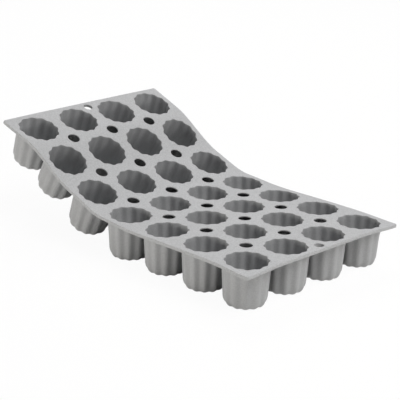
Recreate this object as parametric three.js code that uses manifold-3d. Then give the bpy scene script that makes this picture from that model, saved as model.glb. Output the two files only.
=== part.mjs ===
// Silicone canele mould: a flexible sheet with seven rows of four fluted cups hanging below it.
// The sheet is modelled as it was flexed for its picture. Its front rows stand level on their cups
// and its back rows sweep up. Each row of cups is stiff and the web between two rows is the living
// hinge that bends, so the moulding is divided there into strips, webs and cups.
// Millimetres, +X from the raised end to the level end, +Y to the far side, +Z up.
import * as THREE from 'three';
import { mergeVertices } from 'three/addons/utils/BufferGeometryUtils.js';
import Module from 'manifold-3d';

const wasm = await Module();
wasm.setup();

// Sheet
const rowCount = 7;
const columnNames = ['a', 'b', 'c', 'd'];
const rowPitch = 42.9;
const columnPitch = 43.7;
const endMargin = 21.3; // end row's centre line to the short edge
const sideMargin = 21.95; // outer column's centre line to the long edge
const sheetThickness = 1.2; // between the cups
const rimThickness = 2.8; // of the stiffer border, and of the pad round each hanging hole
const rimWidth = 2.2;
const cornerRadius = 1.6;

// Cups
const cupHeight = 35; // top of the sheet to the flat base
const mouthDiameter = 35; // across two opposite flute crests, at the top of the sheet
const footDiameter = 31.4; // across two opposite crests, where the foot starts to round in
const footHeight = 8;
const footInset = 5; // foot's rounding, outside
const cavityFootInset = 3.5; // foot's bevel, inside
const wallThickness = 1.4;
const baseThickness = 1.4;
const fluteCount = 12;
const fluteDepth = 1.2; // crest to valley
const collarLedge = 0.5; // how far a strip's collar stands out past the cup's wall

// Holes
const ventDiameter = 10.6;
const ventMargin = 1.9; // web left between a vent and the strip beside it
const hangingHoleDiameter = 7.8;
const hangingHoleInset = 7; // centre of the hole to the short edge
const padWidth = 2.5; // of the pad, from the hole's edge out

// Flex: bend of each web in degrees, from the raised end on, hollow side up where it is positive
const webBends = [-10.5, 9, 22, 0, 0, 0];
const flatShare = 0.2; // part of the pitch, from a row's centre line on, that stays flat in every bend
const levelRow = 3; // the middle row, which lies level and carries the others

const pieceGap = 0.3; // between neighbouring pieces of the moulding
const spanFacets = 4; // of a bent web, from one row's centre line to the next, an even count
const facetSteps = 12; // fine steps along each facet, by which the bend is summed up
const holeSides = 8;
const collarSides = 12;
const cornerFacets = 3; // in a quarter turn
const cutReach = 12; // how far a cutting tool runs past what it cuts
const weldDistance = 1e-4; // corners closer than this are one corner

const halfWidth = (columnNames.length - 1) / 2 * columnPitch + sideMargin;
const mouthRadius = mouthDiameter / 2;
const footRadius = footDiameter / 2;
const footTop = footHeight - cupHeight;
const collarRadius = mouthRadius + wallThickness + collarLedge;
const webHalfWidth = ventDiameter / 2 + ventMargin;
const spineHalfWidth = rowPitch / 2 - webHalfWidth;
const columnPlaces = columnNames.map((name, k) => ((columnNames.length - 1) / 2 - k) * columnPitch);
const holePlaces = columnPlaces.slice(1).map((y) => y + columnPitch / 2);
const bendAxis = new THREE.Vector3(0, 1, 0);

const silicone = { color: 0xa6a7a8, roughness: 0.62, metalness: 0 };

// Solids

function toSolid(geometry) {
  const bare = geometry.clone();
  bare.deleteAttribute('normal');
  bare.deleteAttribute('uv');
  const merged = mergeVertices(bare, weldDistance);
  const vertProperties = Float32Array.from(merged.attributes.position.array);
  const triVerts = Uint32Array.from(merged.index.array);
  return new wasm.Manifold(new wasm.Mesh({ numProp: 3, vertProperties, triVerts }));
}

function toGeometry(solid) {
  const mesh = solid.getMesh();
  const geometry = new THREE.BufferGeometry();
  geometry.setAttribute('position', new THREE.BufferAttribute(Float32Array.from(mesh.vertProperties), 3));
  geometry.setIndex(new THREE.BufferAttribute(Uint32Array.from(mesh.triVerts), 1));
  geometry.computeVertexNormals();
  return geometry;
}

const joinAll = (solids) => solids.reduce((sum, solid) => sum.add(solid));
const cutAll = (solid, tools) => tools.reduce((rest, tool) => rest.subtract(tool), solid);

// A many-sided cutter whose flats lie at the radius, one of them facing along the rows
function roundTool(radius, sides, x, y) {
  const corner = radius / Math.cos(Math.PI / sides);
  const tool = new THREE.CylinderGeometry(corner, corner, 2 * cutReach, sides, 1, false, Math.PI / sides);
  return toSolid(tool.rotateX(Math.PI / 2).translate(x, y, 0));
}

function plateTool(shape) {
  const settings = { depth: 2 * cutReach, bevelEnabled: false, curveSegments: cornerFacets };
  return toSolid(new THREE.ExtrudeGeometry(shape, settings).translate(0, 0, -cutReach));
}

// Flexed frames: each row is carried by a hinge in the web beside it, counted out from the level row

function ease(t) {
  const eased = THREE.MathUtils.clamp((t - flatShare) / (1 - 2 * flatShare), 0, 1);
  return eased * eased * (3 - 2 * eased);
}

// The sheet from one row's centre line to the next: along and up from the first row, and its slope there
function spanOf(bend) {
  const steps = spanFacets * facetSteps;
  const stations = [];
  let along = 0;
  let up = 0;
  for (let k = 0; k <= steps; k++) {
    if (k % facetSteps === 0) stations.push({ along, up, slope: bend * ease(k / steps) });
    const slope = bend * ease((k + 0.5) / steps);
    along += rowPitch / steps * Math.cos(slope);
    up += rowPitch / steps * Math.sin(slope);
  }
  return stations;
}

// A point of the sheet in a row's frame, at some depth below its top face
function sheetPoint(station, side, depth) {
  const x = station.along + depth * Math.sin(station.slope);
  return new THREE.Vector3(side * x, 0, station.up - depth * Math.cos(station.slope));
}

const rows = [];
const hinges = [];
rows[levelRow] = new THREE.Group();

function addRow(index, side) {
  const parent = rows[index - side];
  const web = side > 0 ? index - 1 : index;
  const bend = THREE.MathUtils.degToRad(webBends[web]);
  const span = spanOf(bend);
  const hinge = new THREE.Group();
  hinge.name = `hinge_${web + 1}_${web + 2}`;
  hinge.position.copy(sheetPoint(span[spanFacets / 2], side, sheetThickness / 2));
  hinge.rotation.y = -side * bend;
  const row = new THREE.Group();
  row.position.copy(sheetPoint(span[spanFacets], side, 0)).sub(hinge.position);
  row.position.applyAxisAngle(bendAxis, side * bend);
  hinge.add(row);
  parent.add(hinge);
  rows[index] = row;
  hinges[web] = { parent, side, span };
}

for (let index = levelRow - 1; index >= 0; index--) {
  addRow(index, -1);
}
for (let index = levelRow + 1; index < rowCount; index++) {
  addRow(index, 1);
}

const mould = new THREE.Group();
mould.add(rows[levelRow]);
mould.updateMatrixWorld(true);

// Sheet: its flexed section, swept across, and run past the long and short edges by an overhang

// Only a bent web has points between the two ends, because the rows and the other webs are flat
function sectionLine(depth, overhang) {
  const end = endMargin + overhang;
  const points = [rows[0].localToWorld(new THREE.Vector3(-end, 0, -depth))];
  hinges.forEach(({ parent, side, span }, web) => {
    if (webBends[web] === 0) return;
    const line = span.slice(1, -1).map((station) => parent.localToWorld(sheetPoint(station, side, depth)));
    points.push(...(side > 0 ? line : line.reverse()));
  });
  points.push(rows[rowCount - 1].localToWorld(new THREE.Vector3(end, 0, -depth)));
  return points.map((point) => new THREE.Vector2(point.x, point.z));
}

function sweptSheet(topDepth, bottomDepth, overhang) {
  const outline = [...sectionLine(bottomDepth, overhang), ...sectionLine(topDepth, overhang).reverse()];
  const depth = 2 * (halfWidth + overhang);
  const swept = new THREE.ExtrudeGeometry(new THREE.Shape(outline), { depth, bevelEnabled: false });
  return swept.rotateX(Math.PI / 2).translate(0, depth / 2, 0);
}

const slab = sweptSheet(0, rimThickness, cutReach);
// What is hollowed out under the slab, inside its rim
const hollow = sweptSheet(sheetThickness, 2 * rimThickness, -rimWidth);
// Everything from just under the sheet upwards, which the cups stop short of
const overCups = sweptSheet(-cutReach, sheetThickness + pieceGap, cutReach);

function inFrameOf(object, geometry) {
  return toSolid(geometry.clone().applyMatrix4(object.matrixWorld.clone().invert()));
}

function sheetIn(object, pads) {
  return inFrameOf(object, slab).subtract(cutAll(inFrameOf(object, hollow), pads));
}

// Cups

// A closed loft from the top down: fluted rings, then plain ones with one corner under each crest
function flutedLoft(flutedRings, plainRings) {
  const sides = 2 * fluteCount;
  const positions = [];
  const indices = [];
  const addPoint = (radius, step, height) => {
    const angle = step * Math.PI / fluteCount;
    positions.push(radius * Math.cos(angle), radius * Math.sin(angle), height);
  };
  flutedRings.forEach(({ radius, height, valley }) => {
    for (let k = 0; k < sides; k++) {
      addPoint(k % 2 === 0 ? radius - valley : radius, k, height);
    }
  });
  plainRings.forEach(({ radius, height }) => {
    for (let k = 0; k < fluteCount; k++) {
      addPoint(radius, 2 * k + 1, height);
    }
  });
  const addBand = (upper, lower, count) => {
    for (let k = 0; k < count; k++) {
      const next = (k + 1) % count;
      indices.push(upper + k, lower + k, lower + next, upper + k, lower + next, upper + next);
    }
  };
  const addCap = (start, count, facesUp) => {
    for (let k = start + 1; k < start + count - 1; k++) {
      indices.push(start, facesUp ? k : k + 1, facesUp ? k + 1 : k);
    }
  };
  const lowest = (flutedRings.length - 1) * sides;
  const plain = lowest + sides;
  const base = plain + (plainRings.length - 1) * fluteCount;
  addCap(0, sides, true);
  for (let ring = 0; ring < lowest; ring += sides) {
    addBand(ring, ring + sides, sides);
  }
  for (let k = 0; k < fluteCount; k++) {
    const next = (k + 1) % fluteCount;
    const crest = lowest + 2 * k + 1;
    const valley = lowest + 2 * next;
    indices.push(crest, plain + k, valley);
    indices.push(valley, plain + k, plain + next);
    indices.push(valley, plain + next, valley + 1);
  }
  for (let ring = plain; ring < base; ring += fluteCount) {
    addBand(ring, ring + fluteCount, fluteCount);
  }
  addCap(base, fluteCount, false);
  const geometry = new THREE.BufferGeometry();
  geometry.setAttribute('position', new THREE.Float32BufferAttribute(positions, 3));
  geometry.setIndex(indices);
  return geometry;
}

// The drafted wall of a cup, a wall's thickness outside its cavity. The flutes narrow with the radius,
// so that each of their faces is flat.
const draft = (mouthRadius - footRadius) / -footTop;

function wallRings(wall, topHeight) {
  const valleyShare = fluteDepth / (mouthRadius + wall);
  return [topHeight, footTop].map((height) => {
    const radius = mouthRadius + draft * height + wall;
    return { radius, height, valley: valleyShare * radius };
  });
}

// The foot rounds in with a corner under each crest, to a flat base
const footBend = Math.PI / 4;
const bodyFoot = [
  {
    radius: footRadius + wallThickness - footInset * (1 - Math.cos(footBend)),
    height: footTop - footHeight * Math.sin(footBend),
  },
  { radius: footRadius + wallThickness - footInset, height: -cupHeight },
];
const cavityFoot = [{ radius: footRadius - cavityFootInset, height: baseThickness - cupHeight }];

const cupBody = flutedLoft(wallRings(wallThickness, cutReach / 2), bodyFoot);
const cavity = flutedLoft(wallRings(0, cutReach), cavityFoot);
const cavityAt = (y) => toSolid(cavity.clone().translate(0, y, 0));

function addPiece(row, name, solid) {
  const mesh = new THREE.Mesh(toGeometry(solid), new THREE.MeshStandardMaterial(silicone));
  mesh.name = name;
  row.add(mesh);
}

function addCups(index) {
  const over = inFrameOf(rows[index], overCups);
  columnPlaces.forEach((y, k) => {
    const body = toSolid(cupBody.clone().translate(0, y, 0));
    addPiece(rows[index], `cup_${index + 1}_${columnNames[k]}`, cutAll(body, [cavityAt(y), over]));
  });
}

// Strips and webs

// A row's share of the sheet: a spine between its webs, a collar round each cup, and the end margins
function stripRegion(index, grow) {
  const wide = halfWidth + grow;
  const left = index === 0 ? -endMargin : -spineHalfWidth - grow;
  const right = index === rowCount - 1 ? endMargin : spineHalfWidth + grow;
  const outline = new THREE.Shape();
  if (index === 0) {
    outline.moveTo(right, -wide).lineTo(right, wide).lineTo(left + cornerRadius, wide);
    outline.absarc(left + cornerRadius, wide - cornerRadius, cornerRadius, Math.PI / 2, Math.PI);
    outline.absarc(left + cornerRadius, cornerRadius - wide, cornerRadius, Math.PI, 1.5 * Math.PI);
  } else if (index === rowCount - 1) {
    outline.moveTo(left, wide).lineTo(left, -wide).lineTo(right - cornerRadius, -wide);
    outline.absarc(right - cornerRadius, cornerRadius - wide, cornerRadius, -Math.PI / 2, 0);
    outline.absarc(right - cornerRadius, wide - cornerRadius, cornerRadius, 0, Math.PI / 2);
  } else {
    outline.moveTo(left, -wide).lineTo(right, -wide).lineTo(right, wide).lineTo(left, wide);
  }
  outline.closePath();
  const collars = columnPlaces.map((y) => roundTool(collarRadius + grow, collarSides, 0, y));
  return joinAll([plateTool(outline), ...collars]);
}

// The first and the last strip have a hanging hole, in a pad as thick as the rim
function addStrip(index) {
  const holeReach = endMargin - hangingHoleInset;
  const holeRadius = hangingHoleDiameter / 2;
  const hangingHoles = [];
  if (index === 0) hangingHoles.push(-holeReach);
  if (index === rowCount - 1) hangingHoles.push(holeReach);
  const pads = hangingHoles.map((x) => roundTool(holeRadius + padWidth, holeSides, x, 0));
  const holes = hangingHoles.map((x) => roundTool(holeRadius, holeSides, x, 0));
  const strip = sheetIn(rows[index], pads).intersect(stripRegion(index, 0));
  const cuts = [...columnPlaces.map(cavityAt), ...holes];
  addPiece(rows[index], `flange_strip_${index + 1}`, cutAll(strip, cuts));
}

// What is left of the sheet between two rows, with its vents, carried by the row nearer the level one
function addWeb(web) {
  const { parent, side, span } = hinges[web];
  const middle = span[spanFacets / 2];
  const place = new THREE.Matrix4().makeRotationY(-side * middle.slope);
  place.setPosition(sheetPoint(middle, side, sheetThickness / 2));
  const frame = new THREE.Object3D();
  parent.add(frame);
  place.decompose(frame.position, frame.quaternion, frame.scale);
  frame.updateMatrixWorld(true);
  const reach = new THREE.BoxGeometry(rowPitch, 2 * halfWidth, 2 * cutReach);
  const local = sheetIn(frame, []).intersect(toSolid(reach));
  const vents = holePlaces.map((y) => roundTool(ventDiameter / 2, holeSides, 0, y));
  const neighbours = [web, web + 1].map((index) => {
    const region = toGeometry(stripRegion(index, pieceGap)).applyMatrix4(rows[index].matrixWorld);
    return inFrameOf(frame, region);
  });
  addPiece(frame, `flex_web_${web + 1}_${web + 2}`, cutAll(local, [...vents, ...neighbours]));
}

for (let index = 0; index < rowCount; index++) {
  addStrip(index);
  addCups(index);
}
for (let web = 0; web < rowCount - 1; web++) {
  addWeb(web);
}

// The origin is on the floor, under the middle of the mould
const box = new THREE.Box3().setFromObject(mould, true);
mould.position.set(-(box.min.x + box.max.x) / 2, -(box.min.y + box.max.y) / 2, -box.min.z);
mould.updateMatrixWorld(true);

export default mould;
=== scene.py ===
import math

import bmesh
import bpy
import numpy as np
from mathutils import Matrix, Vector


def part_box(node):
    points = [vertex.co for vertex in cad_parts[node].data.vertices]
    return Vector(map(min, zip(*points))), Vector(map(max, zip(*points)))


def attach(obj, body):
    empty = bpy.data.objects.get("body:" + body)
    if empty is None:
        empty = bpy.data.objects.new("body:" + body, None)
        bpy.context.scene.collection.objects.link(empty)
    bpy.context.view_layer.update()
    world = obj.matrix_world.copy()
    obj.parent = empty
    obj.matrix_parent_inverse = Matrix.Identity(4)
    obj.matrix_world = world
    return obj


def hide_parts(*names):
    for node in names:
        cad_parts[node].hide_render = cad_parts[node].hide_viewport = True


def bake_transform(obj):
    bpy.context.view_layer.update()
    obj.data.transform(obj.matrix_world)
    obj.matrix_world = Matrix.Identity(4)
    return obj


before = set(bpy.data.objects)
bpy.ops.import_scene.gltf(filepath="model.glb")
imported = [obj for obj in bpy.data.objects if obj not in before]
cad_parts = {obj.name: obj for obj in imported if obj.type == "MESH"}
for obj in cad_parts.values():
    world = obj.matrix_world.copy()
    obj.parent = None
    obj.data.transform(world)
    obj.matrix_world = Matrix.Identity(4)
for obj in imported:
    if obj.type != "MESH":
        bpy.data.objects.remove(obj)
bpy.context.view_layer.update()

mm = 0.001  # every length below is in millimetres
scene = bpy.context.scene


# The flexed sheet

sheet = {
    "rows": 7,
    "columns": "abcd",
    "levelRow": 4,
    "rowPitch": 42.9,
    "columnPitch": 43.7,
    "endMargin": 21.3,  # end row's centre line to the short edge
    "sideMargin": 21.95,  # outer column's centre line to the long edge
    "thickness": 1.2,
    "webBends": (-10.5, 9, 22, 0, 0, 0),  # degrees, from the raised end on, hollow side up if positive
    "flatShare": 0.2,  # of the pitch, on both sides of a row's centre line
    "rowLeans": (0, 1.2, -2.4, 2.6, -1.5, 0, 0),  # degrees, the springy sheet evens out its bends
    "twist": 1.2,  # one long edge drops and the other rises by about this at the raised end
    "twistRow": 3,  # where the twist starts
    "twistPitches": 3,  # over which it grows
    "curveStep": 0.05,
}


def rowAlong(row):
    return (row - sheet["levelRow"]) * sheet["rowPitch"]


def columnAcross(column):
    return ((len(sheet["columns"]) - 1) / 2 - column) * sheet["columnPitch"]


def smooth(t):
    t = np.clip(t, 0, 1)
    return t * t * (3 - 2 * t)


# One in the middle of a soft hump, and nought beyond its reach
def hump(distance, reach):
    return (1 + np.cos(math.pi * np.clip(distance / reach, -1, 1))) / 2


# Lengths along the sheet, and its place and tilt at each, with what its rows lean by
def flexCurve(leans):
    reach = rowAlong(sheet["rows"] + 1)
    along = np.arange(-reach, reach, sheet["curveStep"])
    tilt = np.zeros_like(along)
    for row, bend in enumerate(sheet["webBends"], 1):
        share = (along - rowAlong(row)) / sheet["rowPitch"]
        eased = smooth((share - sheet["flatShare"]) / (1 - 2 * sheet["flatShare"]))
        tilt += math.radians(bend) * ((row < sheet["levelRow"]) - eased)
    for row, lean in enumerate(leans, 1):
        tilt += math.radians(lean) * hump(along - rowAlong(row), sheet["rowPitch"])
    between = (tilt[1:] + tilt[:-1]) / 2
    x = np.concatenate([[0], np.cumsum(np.cos(between))]) * sheet["curveStep"]
    z = np.concatenate([[0], np.cumsum(-np.sin(between))]) * sheet["curveStep"]
    low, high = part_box("cup_5_b")  # the row after the level one lies level too, and is cut square
    levelX = (low.x + high.x) / 2 / mm - sheet["rowPitch"]
    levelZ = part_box("flange_strip_5")[1].z / mm
    x += levelX - np.interp(0, along, x)
    z += levelZ - np.interp(0, along, z)
    return along, x, z, tilt


stiffCurve = flexCurve([0] * sheet["rows"])
springyCurve = flexCurve(sheet["rowLeans"])


def onCurve(curve, along):
    return [np.interp(along, curve[0], values) for values in curve[1:]]


# The four corners hang free, so they droop and lean outward round their cups' mouths
corner = {
    "droop": 1.2,
    "flare": 1,  # along the sheet and across it alike
    "reach": 17.5,  # inward from the corner cup's middle, where the sheet is straight again
}


# Nought all over the sheet but round its corner cups, and one at its corners
def cornerShare(along, across):
    reach = corner["reach"]
    past = np.abs(along) - rowAlong(sheet["rows"]) + reach
    aside = np.abs(across) - columnAcross(0) + reach
    return smooth(past / (reach + sheet["endMargin"])) * smooth(aside / (reach + sheet["sideMargin"]))


# The long edges droop most a little past the level row, and are drawn in along the raised rows
margin = {
    "droop": 1.1,
    "droopRow": 4.9,  # counted in rows
    "droopReach": 86,  # along the sheet, to both sides of there
    "drawIn": 1,
}


# Nought between the outer cups' middles, and one at the long edges
def marginShare(across):
    return smooth((np.abs(across) - columnAcross(0)) / sheet["sideMargin"])


def marginDroop(along, across):
    share = hump(along - rowAlong(margin["droopRow"]), margin["droopReach"])
    return margin["droop"] * share * marginShare(across)


def marginDraw(along, across):
    raised = smooth((rowAlong(sheet["levelRow"]) - along) / sheet["rowPitch"])
    return margin["drawIn"] * raised * marginShare(across)


# Nought on the level rows, and nearly one at the raised end
def twistShare(along):
    reach = sheet["twistPitches"] * sheet["rowPitch"]
    return smooth((rowAlong(sheet["twistRow"]) - along) / reach)


# A point of the moulding: millimetres along the sheet, across it, and below its top face
def flexed(along, across, depth):
    share = cornerShare(along, across)
    twist = sheet["twist"] * twistShare(along) * across / (columnAcross(0) + sheet["sideMargin"])
    depth = depth + corner["droop"] * share + marginDroop(along, across) - twist
    across = across + np.sign(across) * (corner["flare"] * share - marginDraw(along, across))
    along = along + np.sign(along) * corner["flare"] * share
    x, z, tilt = onCurve(springyCurve, along)
    return np.stack([x - depth * np.sin(tilt), across + 0 * x, z - depth * np.cos(tilt)], -1)


# The same point if the sheet were flat all over that row, as its cups are
def stiff(row, along, across, depth):
    x, z, tilt = onCurve(stiffCurve, rowAlong(row))
    local = along - rowAlong(row)
    x = x + local * np.cos(tilt) - depth * np.sin(tilt)
    z = z - local * np.sin(tilt) - depth * np.cos(tilt)
    return np.stack([x, across + 0 * x, z], -1)


# Mesh building

meshing = {
    "weld": 0.002,
    "smoothAngle": 34,  # degrees, a sharper fold stays a crease
    "edgeSteps": 4,  # round an edge
    "smallEdgeSteps": 3,
}


class Shell:
    def __init__(self):
        self.points = []
        self.faces = []
        self.count = 0

    # A grid of points, ring after ring, with a face between each four of them
    def addGrid(self, grid, flip=False, wrap=False):
        rings, samples = grid.shape[:2]
        index = np.arange(rings * samples).reshape(rings, samples) + self.count
        if wrap:
            index = np.concatenate([index, index[:, :1]], 1)
        corners = [index[:-1, :-1], index[:-1, 1:], index[1:, 1:], index[1:, :-1]]
        faces = np.stack(corners, -1).reshape(-1, 4)
        self.faces += (faces[:, ::-1] if flip else faces).tolist()
        self.points.append(grid.reshape(-1, 3))
        self.count += rings * samples

    def addCap(self, ring):
        self.faces.append(list(range(self.count, self.count + len(ring))))
        self.points.append(ring)
        self.count += len(ring)

    def toMesh(self, name):
        mesh = bpy.data.meshes.new(name)
        mesh.from_pydata((np.concatenate(self.points) * mm).tolist(), [], self.faces)
        work = bmesh.new()
        work.from_mesh(mesh)
        bmesh.ops.remove_doubles(work, verts=work.verts, dist=meshing["weld"] * mm)
        bmesh.ops.holes_fill(work, edges=[edge for edge in work.edges if edge.is_boundary], sides=0)
        bmesh.ops.recalc_face_normals(work, faces=work.faces)
        work.to_mesh(mesh)
        work.free()
        mesh.shade_smooth()
        mesh.set_sharp_from_angle(angle=math.radians(meshing["smoothAngle"]))
        return mesh


# From one point to another round a rounded edge, as (out, down) steps of a quarter turn
def quarterTurn(start, stop, startsAcross, steps=meshing["edgeSteps"]):
    turn = np.linspace(0, math.pi / 2, steps + 1)
    early, late = np.sin(turn), 1 - np.cos(turn)
    shares = (early, late) if startsAcross else (late, early)
    out, down = (start[k] + (stop[k] - start[k]) * shares[k] for k in (0, 1))
    return list(zip(out, down))


# Cups

cup = {
    "height": 35,
    "mouthRadius": 17.5,  # on a flute's crest, inside
    "footRadius": 15.7,  # the same, where the foot starts to round in
    "footHeight": 8,
    "footInset": 5,
    "cavityFootInset": 3.5,
    "wall": 1.4,
    "base": 1.4,
    "flutes": 12,
    "fluteDepth": 1.2,
    "footFluteShare": 0.6,  # of the flutes' depth that is left at the edge of the base
    "fluteEndRadius": 8,  # on the base, where the flutes have run out
    "baseCapRadius": 5,
    "rimRadius": 0.4,  # rounding of the mouth's edge
    "neckRadius": 0.6,  # fillet under the sheet
    "land": 0.15,  # short straight run past a rounding
    "flexFade": 11,  # depth over which the mouth's flex dies out below the neck
    "samples": 120,  # round a ring
    "ringStep": 0.4,  # from the first ring to the next
    "ringDepths": (3, 5, 7, 9, 11, 13, 18, 23),  # down the wall, closer where the flex dies out
    "ringLead": 0.5,  # from the wall's last ring to the foot
    "footRings": 10,
    "baseRings": 5,  # where the flutes run out
}
cup["footDepth"] = cup["height"] - cup["footHeight"]
cup["innerStart"] = cup["rimRadius"] + cup["land"]
cup["neckEnd"] = sheet["thickness"] + cup["neckRadius"]
cup["outerStart"] = cup["neckEnd"] + cup["land"]


# Nought on a flute's crest and one in a valley, with crests half a flute away from the sheet's axes
def valley(angle):
    return (1 + np.cos(cup["flutes"] * angle)) / 2


def crestRadius(depth):
    draft = (cup["mouthRadius"] - cup["footRadius"]) / cup["footDepth"]
    return cup["mouthRadius"] - draft * depth


def wallRadius(angle, depth, thickness):
    crest = crestRadius(depth)
    return crest + thickness - cup["fluteDepth"] * crest / cup["mouthRadius"] * valley(angle)


# Radius and depth round one turn of a cup's wall, foot and base, from the top down
def cupSide(angle, startDepth, thickness, footInset, bottom):
    rings = []
    fluteDepth = cup["fluteDepth"] * cup["footRadius"] / cup["mouthRadius"]
    upper = (startDepth, startDepth + cup["ringStep"])
    for depth in (*upper, *cup["ringDepths"], cup["footDepth"] - cup["ringLead"]):
        rings.append((wallRadius(angle, depth, thickness), depth + 0 * angle))
    crest = crestRadius(cup["footDepth"]) + thickness
    drop = bottom - cup["footDepth"]
    for turn in np.linspace(0, math.pi / 2, cup["footRings"]):
        lean = np.array([drop * math.cos(turn), footInset * math.sin(turn)])
        lean /= np.linalg.norm(lean)
        left = 1 - (1 - cup["footFluteShare"]) * smooth(turn / (math.pi / 2))
        inset = fluteDepth * left * valley(angle)
        radius = crest - footInset * (1 - math.cos(turn)) - lean[0] * inset
        rings.append((radius, cup["footDepth"] + drop * math.sin(turn) - lean[1] * inset))
    edge = crest - footInset
    for share in np.arange(1, cup["baseRings"] + 1) / cup["baseRings"]:
        radius = edge + (cup["fluteEndRadius"] - edge) * share
        left = fluteDepth * cup["footFluteShare"] * (1 - smooth(share))
        rings.append((radius + 0 * angle, bottom - left * valley(angle)))
    rings.append((cup["baseCapRadius"] + 0 * angle, bottom + 0 * angle))
    return rings


def placeCup(row, middle, angle, rings):
    radius = np.array([ring[0] for ring in rings])
    depth = np.array([ring[1] for ring in rings])
    along = rowAlong(row) + radius * np.cos(angle)
    across = middle + radius * np.sin(angle)
    still = stiff(row, along, across, depth)
    fade = 1 - smooth((depth - cup["outerStart"]) / cup["flexFade"])
    return still + fade[..., None] * (flexed(along, across, depth) - still)


# A cup in its row and at its middle across the sheet, measured across from that middle
def cupMesh(name, row, middle):
    angle = np.arange(cup["samples"]) * 2 * math.pi / cup["samples"]
    cavityFloor = cup["height"] - cup["base"]
    inside = cupSide(angle, cup["innerStart"], 0, cup["cavityFootInset"], cavityFloor)
    outside = cupSide(angle, cup["outerStart"], cup["wall"], cup["footInset"], cup["height"])
    grid = placeCup(row, middle, angle, inside[::-1] + outside) - (0, middle, 0)
    shell = Shell()
    shell.addGrid(grid, wrap=True)
    shell.addCap(grid[0])
    shell.addCap(grid[-1])
    return shell.toMesh(name)


cups = []
for row in range(1, sheet["rows"] + 1):
    for column, letter in enumerate(sheet["columns"]):
        middle = columnAcross(column)
        mesh = cupMesh(f"cup_{row}_{letter}", row, middle)
        piece = bpy.data.objects.new(f"fluted_cup_{row}_{letter}", mesh)
        piece.location.y = middle * mm
        scene.collection.objects.link(piece)
        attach(piece, f"row_{row}")
        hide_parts(f"cup_{row}_{letter}")
        cups.append(piece)
print("cups made:", len(cups), "with", len(cups[0].data.polygons), "faces each")


# Sheet skin: half a tile of sheet on each side of a row's centre line, round every mouth

skin = {
    "rimThickness": 2.8,
    "rimWidth": 2.2,
    "edgeRadius": 0.5,
    "stepRadius": 0.3,  # where the rim steps up to the sheet
    "cornerRadius": 1.6,
    "ventRadius": 5.3,
    "ventEdge": 0.3,
    "holeRadius": 3.9,
    "holeInset": 7,
    "holeEdge": 0.4,
    "padWidth": 2.5,
    "padShy": 0.1,  # the pad stops this short of the rim's face, so that the two don't share one
    "bendStart": 0.4,  # of the pitch
    "halfSteps": 60,  # samples round half a mouth
    "ringShares": (0.06, 0.35, 0.65, 0.94),  # of the way from a mouth to its tile's outline
    "rimSamples": 16,  # along half a tile
    "cornerRimSamples": 14,  # the same before a corner
    "cornerTurns": (22.5, 45, 67.5),  # degrees
    "ventLead": 12,  # steps from a row's centre line to a vent
    "ventSamples": 6,  # round a quarter of it
    "holeLead": 9,  # steps from a row's centre line to a hanging hole
    "holeSamples": 9,  # round half of it
    "holeTail": 2,  # steps from there to the rim
    "plainSteps": 15,
    "padSamples": 32,
}


# Steps (in from the edge, down) over each kind of edge, from the top face to the underside
def edgeProfile(edge):
    thick = sheet["thickness"]
    if edge == "rim":
        deep, rounding, step = skin["rimThickness"], skin["edgeRadius"], skin["stepRadius"]
        inner, small = skin["rimWidth"], meshing["smallEdgeSteps"]
        return (
            quarterTurn((rounding, 0), (0, rounding), True)
            + quarterTurn((0, deep - rounding), (rounding, deep), False)
            + quarterTurn((inner - step, deep), (inner, deep - step), True, small)
            + quarterTurn((inner, thick + step), (inner + step, thick), False, small)
        )
    if edge == "vent":
        rounding = skin["ventEdge"]
        upper = quarterTurn((rounding, 0), (0, rounding), True)
        return upper + quarterTurn((0, thick - rounding), (rounding, thick), False)
    rounding = skin["holeEdge"]
    return quarterTurn((rounding, 0), (0, rounding), True) + [(0, thick - cup["land"]), (0, thick)]


edgeProfiles = {edge: np.array(edgeProfile(edge)) for edge in ("rim", "vent", "hole")}


# One sample of a tile's outline: its line over the edge, from the flat top to the flat underside. Near a
# corner of the sheet, lines from both its sides stop at the mitre.
def edgeSample(edge, point, inward, mitre=None):
    steps = edgeProfiles[edge][:, :1]
    line = np.array(point) + steps * np.array(inward)
    if mitre is not None:
        line = np.minimum(line, mitre - steps)
    return {"edge": edge, "line": line, "top": line[0], "bottom": line[-1]}


def sharedSample(top, bottom):
    return {"edge": None, "top": np.array(top, float), "bottom": np.array(bottom, float)}


# An outline from a row's centre line along one side of a tile. A number stands for that many steps of
# shared sheet between its neighbours.
def sideOutline(side, atEnd):
    reach = sheet["endMargin"] if atEnd else sheet["rowPitch"] / 2
    if side == "rim":
        across, radius = sheet["sideMargin"], skin["cornerRadius"]
        if not atEnd:
            along = np.linspace(0, reach, skin["rimSamples"])
            return [edgeSample("rim", (p, across), (0, -1)) for p in along]
        along = np.linspace(0, reach - radius, skin["cornerRimSamples"])
        mitre = np.array([reach, across])
        outline = [edgeSample("rim", (p, across), (0, -1), mitre) for p in along]
        for turn in np.radians(skin["cornerTurns"]):
            out = np.array([math.sin(turn), math.cos(turn)])
            outline.append(edgeSample("rim", mitre - radius + radius * out, -out, mitre))
        return outline
    across = sheet["columnPitch"] / 2
    outline = [sharedSample((0, across), (0, across))]
    if side == "vent":
        outline.append(skin["ventLead"])
        for turn in np.linspace(0, math.pi / 2, skin["ventSamples"]):
            out = -np.array([math.cos(turn), math.sin(turn)])
            outline.append(edgeSample("vent", (reach, across) + skin["ventRadius"] * out, out))
    elif side == "hole":
        centre = (reach - skin["holeInset"], across)
        outline.append(skin["holeLead"])
        for turn in np.linspace(0, math.pi, skin["holeSamples"]):
            out = -np.array([math.cos(turn), math.sin(turn)])
            outline.append(edgeSample("hole", centre + skin["holeRadius"] * out, out))
        outline.append(skin["holeTail"])
    else:
        outline.append(skin["plainSteps"])
    return outline


def stepsOf(outline):
    return sum(item - 1 if isinstance(item, int) else 1 for item in outline)


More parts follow.
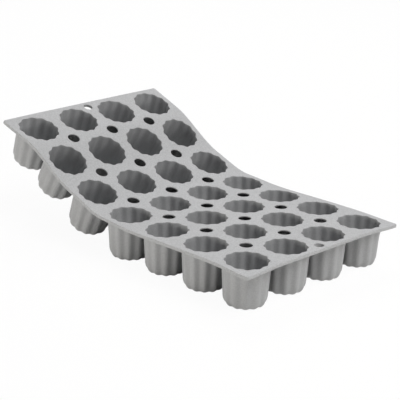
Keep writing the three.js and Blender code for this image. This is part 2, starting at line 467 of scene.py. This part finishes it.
# A tile is the same on both sides of its cup, apart from what ends it there
def mirrored(item):
    if isinstance(item, int):
        return item
    flipped = {name: item[name] * (1, -1) for name in ("line", "top", "bottom") if name in item}
    return {**item, **flipped}


# The whole outline of a half tile, from one end of its centre line to the other
def tileOutline(lower, upper, atEnd):
    low = [mirrored(item) for item in sideOutline(lower, atEnd)]
    high = sideOutline(upper, atEnd)[::-1]
    if atEnd:
        reach, straight = sheet["endMargin"], sheet["sideMargin"] - skin["cornerRadius"]
        start, stop = (straight if side == "rim" else sheet["columnPitch"] / 2 for side in (lower, upper))
        outline = list(low)
        for q in np.linspace(-start, stop, skin["halfSteps"] + 1 - stepsOf(low) - stepsOf(high)):
            side = upper if q > 0 else lower
            mitre = np.array([reach, sheet["sideMargin"]]) if side == "rim" else None
            sample = edgeSample("rim", (reach, abs(q)), (-1, 0), mitre)
            outline.append(sample if q > 0 else mirrored(sample))
        outline += high
    else:
        outline = low + [skin["halfSteps"] + 2 - stepsOf(low) - stepsOf(high)] + high
    samples = []
    for k, item in enumerate(outline):
        if not isinstance(item, int):
            samples.append(item)
            continue
        before, after = outline[k - 1], outline[k + 1]
        for share in np.arange(1, item) / item:
            ends = [before[face] + (after[face] - before[face]) * share for face in ("top", "bottom")]
            samples.append(sharedSample(*ends))
    return samples


def ringsBetween(inner, outer):
    return [inner + (outer - inner) * share for share in skin["ringShares"]]


# Rings of a half tile's top and underside, out from the mouth and in again, in the tile's own flat frame
def tileRings(samples):
    angle = np.linspace(-math.pi / 2, math.pi / 2, skin["halfSteps"] + 1)
    ray = np.stack([np.cos(angle), np.sin(angle)], -1)
    thick, rim, neck = sheet["thickness"], cup["rimRadius"], cup["neckRadius"]
    flat = np.zeros_like(angle)

    def mouthRing(out, depth, wall):
        return ray * (wallRadius(angle, depth, wall) + out)[:, None], depth + flat

    top = [mouthRing(0, cup["innerStart"], 0)]
    top += [mouthRing(out, depth, 0) for out, depth in quarterTurn((0, rim), (rim, 0), False)]
    topEdge = np.array([sample["top"] for sample in samples])
    top += [(ring, flat) for ring in ringsBetween(top[-1][0], topEdge)]
    top.append((topEdge, flat))
    under = [mouthRing(0, cup["outerStart"], cup["wall"])]
    fillet = quarterTurn((0, thick + neck), (neck, thick), False)
    under += [mouthRing(out, depth, cup["wall"]) for out, depth in fillet]
    underEdge = np.array([sample["bottom"] for sample in samples])
    under += [(ring, thick + flat) for ring in ringsBetween(under[-1][0], underEdge)]
    under.append((underEdge, thick + flat))
    return top, under


def addHalfTile(shell, row, column, toRight, samples):
    hand = 1 if toRight else -1

    def place(rings):
        flat = np.array([ring[0] for ring in rings])
        depth = np.array([ring[1] for ring in rings])
        return flexed(rowAlong(row) + hand * flat[..., 0], columnAcross(column) + flat[..., 1], depth)

    top, under = tileRings(samples)
    shell.addGrid(place([under[0]] + top))
    shell.addGrid(place(under), flip=True)
    run = []
    for sample in samples + [sharedSample((0, 0), (0, 0))]:
        if run and sample["edge"] != run[-1]["edge"]:
            lines = np.array([each["line"] for each in run])
            depths = edgeProfiles[run[0]["edge"]][:, 1]
            level = np.zeros(len(run))
            shell.addGrid(place([(lines[:, k], depth + level) for k, depth in enumerate(depths)]))
            run = []
        if sample["edge"]:
            run.append(sample)


# The thicker pad under the sheet, round a hanging hole
def addPad(shell, row, toRight):
    hand = 1 if toRight else -1
    thick, rounding, width = sheet["thickness"], skin["holeEdge"], skin["padWidth"]
    deep = skin["rimThickness"] - skin["padShy"]
    buried = thick - cup["land"]
    profile = [(0, thick)]
    profile += quarterTurn((0, deep - rounding), (rounding, deep), False)
    profile += quarterTurn((width - rounding, deep), (width, deep - rounding), True)
    profile += [(width, buried), (cup["land"], buried), (0, thick)]
    angle = np.linspace(0, 2 * math.pi, skin["padSamples"], endpoint=False)
    out, depth = np.array(profile).T[..., None]
    along = sheet["endMargin"] - skin["holeInset"] + (skin["holeRadius"] + out) * np.cos(angle)
    across = (skin["holeRadius"] + out) * np.sin(angle)
    shell.addGrid(flexed(rowAlong(row) + hand * along, across, depth + 0 * angle), wrap=True)


# What ends a tile on the sides of its neighbours in the row, or of the long edges
def sideKinds(column, atEnd):
    columns = len(sheet["columns"])
    middle = columns // 2
    inner = "plain" if atEnd else "vent"
    lower = "rim" if column == columns - 1 else "hole" if atEnd and column == middle - 1 else inner
    upper = "rim" if column == 0 else "hole" if atEnd and column == middle else inner
    return lower, upper


def sheetPiece(name, halves):
    shell = Shell()
    for row, toRight in halves:
        atEnd = row == (sheet["rows"] if toRight else 1)
        for column in range(len(sheet["columns"])):
            addHalfTile(shell, row, column, toRight, tileOutline(*sideKinds(column, atEnd), atEnd))
        if atEnd:
            addPad(shell, row, toRight)
    piece = bpy.data.objects.new(name, shell.toMesh(name))
    scene.collection.objects.link(piece)
    return piece


skins = []
raisedEnd = sheetPiece("sheet_raised_end", [(1, False)])
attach(raisedEnd, "row_1")
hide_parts("flange_strip_1")
skins.append(raisedEnd)
for row in range(1, sheet["rows"]):
    piece = sheetPiece(f"sheet_{row}_{row + 1}", [(row, True), (row + 1, False)])
    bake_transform(piece)
    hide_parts(f"flange_strip_{row}", f"flex_web_{row}_{row + 1}", f"flange_strip_{row + 1}")
    skins.append(piece)
levelEnd = sheetPiece("sheet_level_end", [(sheet["rows"], True)])
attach(levelEnd, f"row_{sheet['rows']}")
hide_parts(f"flange_strip_{sheet['rows']}")
skins.append(levelEnd)
print("sheet made:", len(skins), "pieces with", sum(len(piece.data.polygons) for piece in skins), "faces")


# Silicone

def linear(hexColour):
    parts = [int(hexColour[k:k + 2], 16) / 255 for k in (0, 2, 4)]
    return [part / 12.92 if part <= 0.04045 else ((part + 0.055) / 1.055) ** 2.4 for part in parts] + [1]


def addNode(tree, kind, inputs=None, **settings):
    node = tree.nodes.new(kind)
    for name, value in settings.items():
        setattr(node, name, value)
    for name, value in (inputs or {}).items():
        if isinstance(value, bpy.types.NodeSocket):
            tree.links.new(value, node.inputs[name])
        else:
            node.inputs[name].default_value = value
    return node


silicone = {
    "grain": 1.2,  # the tool leaves grain of about 0.1 mm, drawn coarser so that it shows
    "grainNoise": {"Detail": 2, "Roughness": 0.6},
    "grainRange": {"From Min": 0.3, "From Max": 0.7},
    "cloud": 26,
    "cloudNoise": {"Detail": 3, "Roughness": 0.5},
    "cloudRange": {"From Min": 0.35, "From Max": 0.65},
    "cloudDim": 0.97,  # where the pigment is mixed in a little denser
    "roughness": (0.54, 0.68),  # in the smoothest and the roughest clouds
    "ior": 1.41,
    "shine": 0.2,  # specular level, low because a matt surface breaks reflections up
}
# The tool's face is blasted, which leaves the sheet speckled, and its cores are honed, which leaves the
# cups nearly even. The sheet's colour is painted paler, as painted light on its lit top, and the cups' a
# shade darker, as painted shade on their walls and in their hollows; both are the one silicone
blastedPaintedLight = {"colour": "B4B5B7", "speckColour": "9FA0A2", "grainHeight": 0.06}
honedPaintedShade = {"colour": "A9AAAC", "speckColour": "9FA0A2", "grainHeight": 0.03}


# Platinum silicone as it leaves the mould: opaque and matt, with slow clouds of pigment and no gloss but
# a soft sheen at a low angle
def mouldedSilicone(name, surface):
    material = bpy.data.materials.new(name)
    material.use_nodes = True
    tree = material.node_tree
    tree.nodes.clear()
    place = addNode(tree, "ShaderNodeTexCoord").outputs["Object"]
    grain = addNode(tree, "ShaderNodeTexNoise", {
        "Vector": place, "Scale": 1 / (silicone["grain"] * mm), **silicone["grainNoise"],
    }).outputs["Fac"]
    cloud = addNode(tree, "ShaderNodeTexNoise", {
        "Vector": place, "Scale": 1 / (silicone["cloud"] * mm), **silicone["cloudNoise"],
    }).outputs["Fac"]
    speck = addNode(tree, "ShaderNodeMapRange", {
        "Value": grain, **silicone["grainRange"], "To Min": 1, "To Max": 0,
    })
    # The names of this node's sockets repeat, so those for colours go by number
    speckled = addNode(tree, "ShaderNodeMix", data_type="RGBA", inputs={
        0: speck.outputs["Result"], 6: linear(surface["colour"]), 7: linear(surface["speckColour"]),
    })
    dim = addNode(tree, "ShaderNodeMapRange", {
        "Value": cloud, **silicone["cloudRange"], "To Min": silicone["cloudDim"], "To Max": 1,
    })
    clouded = addNode(tree, "ShaderNodeHueSaturation", {
        "Color": speckled.outputs[2], "Value": dim.outputs["Result"],
    })
    smoothest, roughest = silicone["roughness"]
    matt = addNode(tree, "ShaderNodeMapRange", {
        "Value": cloud, **silicone["cloudRange"], "To Min": smoothest, "To Max": roughest,
    })
    bump = addNode(tree, "ShaderNodeBump", {
        "Height": grain, "Strength": 1, "Distance": surface["grainHeight"] * mm,
    })
    shader = addNode(tree, "ShaderNodeBsdfPrincipled", {
        "Base Color": clouded.outputs["Color"],
        "Roughness": matt.outputs["Result"],
        "IOR": silicone["ior"],
        "Specular IOR Level": silicone["shine"],
        "Normal": bump.outputs["Normal"],
    })
    addNode(tree, "ShaderNodeOutputMaterial", {"Surface": shader.outputs["BSDF"]})
    return material


def applyFinish(pieces, finish):
    for piece in pieces:
        piece.data.materials.append(finish)


# The sheet gets the paler copy, with painted light, and the cups the darker copy, with painted shade
applyFinish(skins, mouldedSilicone("silicone_moulded_blasted_painted_light", blastedPaintedLight))
applyFinish(cups, mouldedSilicone("silicone_moulded_honed_painted_shade", honedPaintedShade))
print("silicone applied to", len(cups + skins), "pieces")


# Camera

view = {
    "azimuth": 44.59,
    "elevation": 18.95,
    "roll": 2.13,
    "distance": 1104,  # from the level row's middle, on top of the sheet
    "right": 9.22,  # sideways and upward shift of the camera from there
    "up": -1.38,
    "lens": 118.17,
    "sensor": 36,
    "clip": (0.05, 100),  # metres
}


# Sideways, upward and backward axes of something that looks at the mould from there
def lookAxes(azimuth, elevation):
    azimuth, elevation = math.radians(azimuth), math.radians(elevation)
    level = math.cos(elevation)
    back = np.array([math.sin(azimuth) * level, -math.cos(azimuth) * level, math.sin(elevation)])
    right = np.array([math.cos(azimuth), math.sin(azimuth), 0])
    return right, np.cross(back, right), back


def poseMatrix(right, up, back, place):
    return Matrix([[right[k], up[k], back[k], place[k]] for k in range(3)] + [[0, 0, 0, 1]])


def addCamera():
    right, up, back = lookAxes(view["azimuth"], view["elevation"])
    eye = flexed(0, 0, 0) + back * view["distance"] + right * view["right"] + up * view["up"]
    roll = math.radians(view["roll"])
    rolledRight = math.cos(roll) * right + math.sin(roll) * up
    rolledUp = math.cos(roll) * up - math.sin(roll) * right
    lens = bpy.data.cameras.new("camera")
    lens.sensor_width = view["sensor"]
    lens.lens = view["lens"]
    lens.clip_start, lens.clip_end = view["clip"]
    holder = bpy.data.objects.new("camera", lens)
    scene.collection.objects.link(holder)
    holder.matrix_world = poseMatrix(rolledRight, rolledUp, back, eye * mm)
    scene.camera = holder


addCamera()
print("camera set")


# Studio

studio = {
    "floorSize": 30,  # metres
    "floorColour": "F4F3F0",
    "floorClear": 0.95,  # share of the white behind the floor in what the camera sees of it
    "cardSize": (270, 138),  # within the outer cups
    "cardShift": -12,  # towards the raised end
    "cardLift": 0.05,
    "cardColour": "303030",
    "skyColour": "FFFFFF",
    "skyStrength": 0.02,
    "seenStrength": 1,  # of the sky behind the mould
    "boxDistance": 1.6,  # metres
}


# One for what the camera sees, also in reflections, and nought for light that only bounces
def seenShare(tree, path):
    kinds = {0: path["Is Glossy Ray"], 1: path["Is Transmission Ray"]}
    reflected = addNode(tree, "ShaderNodeMath", kinds, operation="MAXIMUM").outputs[0]
    kinds = {0: path["Is Camera Ray"], 1: reflected}
    return addNode(tree, "ShaderNodeMath", kinds, operation="MAXIMUM").outputs[0]


# A flat piece of the studio round the middle of the floor, and the empty tree of its material
def addPlane(name, finish, size, height):
    x, y = size[0] / 2, size[1] / 2
    mesh = bpy.data.meshes.new(name)
    corners = [(-x, -y, height), (x, -y, height), (x, y, height), (-x, y, height)]
    mesh.from_pydata(corners, [], [(0, 1, 2, 3)])
    plane = bpy.data.objects.new(name, mesh)
    scene.collection.objects.link(plane)
    material = bpy.data.materials.new(finish)
    material.use_nodes = True
    material.node_tree.nodes.clear()
    mesh.materials.append(material)
    return plane, material.node_tree


# White paper that takes a faint shadow and bounces light. The camera and the lamps' light pass through
# it, so that rows that are bent down below it still show.
def addFloor():
    floor, tree = addPlane("floor", "paper_white", (studio["floorSize"], studio["floorSize"]), 0)
    path = addNode(tree, "ShaderNodeLightPath").outputs
    seen = {0: seenShare(tree, path), 1: studio["floorClear"]}
    clear = addNode(tree, "ShaderNodeMath", seen, operation="MULTIPLY").outputs[0]
    passed = {0: clear, 1: path["Is Shadow Ray"]}
    share = addNode(tree, "ShaderNodeMath", passed, operation="MAXIMUM").outputs[0]
    paper = addNode(tree, "ShaderNodeBsdfDiffuse", {"Color": linear(studio["floorColour"])})
    nothing = addNode(tree, "ShaderNodeBsdfTransparent")
    mixed = addNode(tree, "ShaderNodeMixShader", {0: share, 1: paper.outputs[0], 2: nothing.outputs[0]})
    addNode(tree, "ShaderNodeOutputMaterial", {"Surface": mixed.outputs[0]})


# A black card on the floor, which keeps light from coming back up between the cups. It is there for
# bounced light alone.
def addCard():
    size = [side * mm for side in studio["cardSize"]]
    card, tree = addPlane("card", "card_matt_black", size, studio["cardLift"] * mm)
    ink = addNode(tree, "ShaderNodeBsdfDiffuse", {"Color": linear(studio["cardColour"])})
    addNode(tree, "ShaderNodeOutputMaterial", {"Surface": ink.outputs[0]})
    card.location.x = studio["cardShift"] * mm
    card.visible_camera = False
    card.visible_shadow = False


# White behind the mould, and next to no light from it
def addSky():
    world = bpy.data.worlds.new("studio")
    scene.world = world
    world.use_nodes = True
    tree = world.node_tree
    tree.nodes.clear()
    white = linear(studio["skyColour"])
    light = addNode(tree, "ShaderNodeBackground", {"Color": white, "Strength": studio["skyStrength"]})
    seen = addNode(tree, "ShaderNodeBackground", {"Color": white, "Strength": studio["seenStrength"]})
    share = seenShare(tree, addNode(tree, "ShaderNodeLightPath").outputs)
    mixed = addNode(tree, "ShaderNodeMixShader", {0: share, 1: light.outputs[0], 2: seen.outputs[0]})
    addNode(tree, "ShaderNodeOutputWorld", {"Surface": mixed.outputs[0]})


# Degrees round from the camera and up from the floor, width and height in metres, watts and tint
softboxes = {
    "key": {"turn": 55, "rise": 59, "size": (0.9, 0.9), "power": 20.8, "tint": "FFFEFC"},
    "behind": {"turn": 180, "rise": 45, "size": (0.9, 0.9), "power": 12.6, "tint": "FFFEFD"},
    "left": {"turn": 270, "rise": 40, "size": (0.9, 0.9), "power": 2, "tint": "FFFEFC"},
    "low_left": {"turn": 298, "rise": 4.6, "size": (1.4, 0.25), "power": 13, "tint": "FFFCF6"},
    "low_right": {"turn": 62, "rise": 4.6, "size": (1.4, 0.25), "power": 5, "tint": "FFFDFA"},
}


def addSoftbox(name, box):
    lamp = bpy.data.lights.new(name, "AREA")
    lamp.shape = "RECTANGLE"
    lamp.size, lamp.size_y = box["size"]
    lamp.energy = box["power"]
    lamp.color = linear(box["tint"])[:3]
    holder = bpy.data.objects.new(name, lamp)
    scene.collection.objects.link(holder)
    right, up, back = lookAxes(view["azimuth"] + box["turn"], box["rise"])
    holder.matrix_world = poseMatrix(right, up, back, back * studio["boxDistance"])


addFloor()
addCard()
addSky()
for name, box in softboxes.items():
    addSoftbox(name, box)
scene.view_settings.view_transform = "Standard"
print("studio set: floor, card, sky and", len(softboxes), "softboxes")
